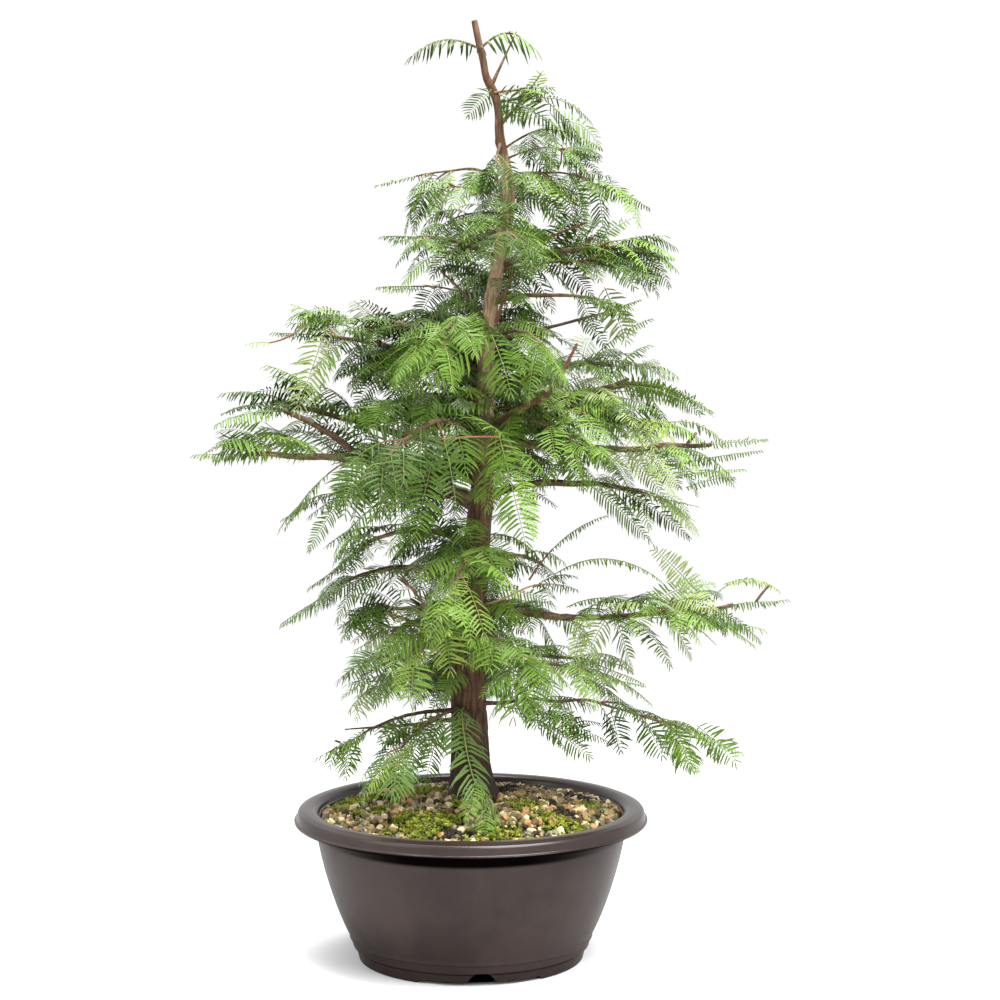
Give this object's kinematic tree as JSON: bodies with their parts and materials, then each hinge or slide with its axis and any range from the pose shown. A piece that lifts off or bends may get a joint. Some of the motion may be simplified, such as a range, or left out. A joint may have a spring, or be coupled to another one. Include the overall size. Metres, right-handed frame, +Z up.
{
  "type": "potted dawn redwood bonsai",
  "caption": "Young dawn redwood trained as a bonsai: one tapering trunk, feathery needle sprays on spreading boughs, in a round plastic pot.",
  "frame": {"origin": "on the table under the middle of the whole plant's box", "axes": "+Z up, +X to the right as the plant is shown, -Y to its front"},
  "size_m": [0.5048, 0.3476, 0.804],
  "materials": {
    "pot_plastic": "moulded brown plastic with a soft sheen",
    "potting_grit": "loose angular grit with moss",
    "bark": "fibrous, finely fissured bark",
    "needle_sprays": "soft flat needles in feather-like sprays"
  },
  "bodies": {
    "root": {"pot": "pot_plastic", "soil": "potting_grit", "trunk": "bark", "bough_back_mid": "bark", "bough_crest_shoot": "bark", "bough_left_bare_shoot": "bark", "bough_left_long": "bark", "bough_left_long_upper": "bark", "bough_left_low": "bark", "bough_right_crest_shoot": "bark", "bough_right_long": "bark", "bough_right_low": "bark", "bough_right_mid": "bark", "bough_right_mid_lower": "bark", "bough_right_mid_upper": "bark", "foliage_back_high": "needle_sprays", "foliage_back_low": "needle_sprays", "foliage_back_low_right": "needle_sprays", "foliage_back_mid": "needle_sprays", "foliage_back_upper": "needle_sprays", "foliage_back_upper_left": "needle_sprays", "foliage_crest_fan": "needle_sprays", "foliage_crest_tuft": "needle_sprays", "foliage_front_crest": "needle_sprays", "foliage_front_high": "needle_sprays", "foliage_front_low": "needle_sprays", "foliage_front_mid": "needle_sprays", "foliage_front_mid_left": "needle_sprays", "foliage_front_right_hang": "needle_sprays", "foliage_front_upper_left": "needle_sprays", "foliage_front_upper_right": "needle_sprays", "foliage_left_arch": "needle_sprays", "foliage_left_crest": "needle_sprays", "foliage_left_hang": "needle_sprays", "foliage_left_hang_back": "needle_sprays", "foliage_left_high": "needle_sprays", "foliage_left_high_front": "needle_sprays", "foliage_left_long": "needle_sprays", "foliage_left_long_upper": "needle_sprays", "foliage_left_low_front": "needle_sprays", "foliage_left_low_spray": "needle_sprays", "foliage_left_second": "needle_sprays", "foliage_left_third": "needle_sprays", "foliage_left_top": "needle_sprays", "foliage_left_upper": "needle_sprays", "foliage_left_upper_mid": "needle_sprays", "foliage_right_crest": "needle_sprays", "foliage_right_feather": "needle_sprays", "foliage_right_gold": "needle_sprays", "foliage_right_high": "needle_sprays", "foliage_right_high_low": "needle_sprays", "foliage_right_inner_back": "needle_sprays", "foliage_right_long": "needle_sprays", "foliage_right_low": "needle_sprays", "foliage_right_low_back": "needle_sprays", "foliage_right_mid": "needle_sprays", "foliage_right_mid_lower": "needle_sprays", "foliage_right_mid_upper": "needle_sprays", "foliage_right_top": "needle_sprays", "foliage_right_upper_back": "needle_sprays"}
  },
  "joints": []
}
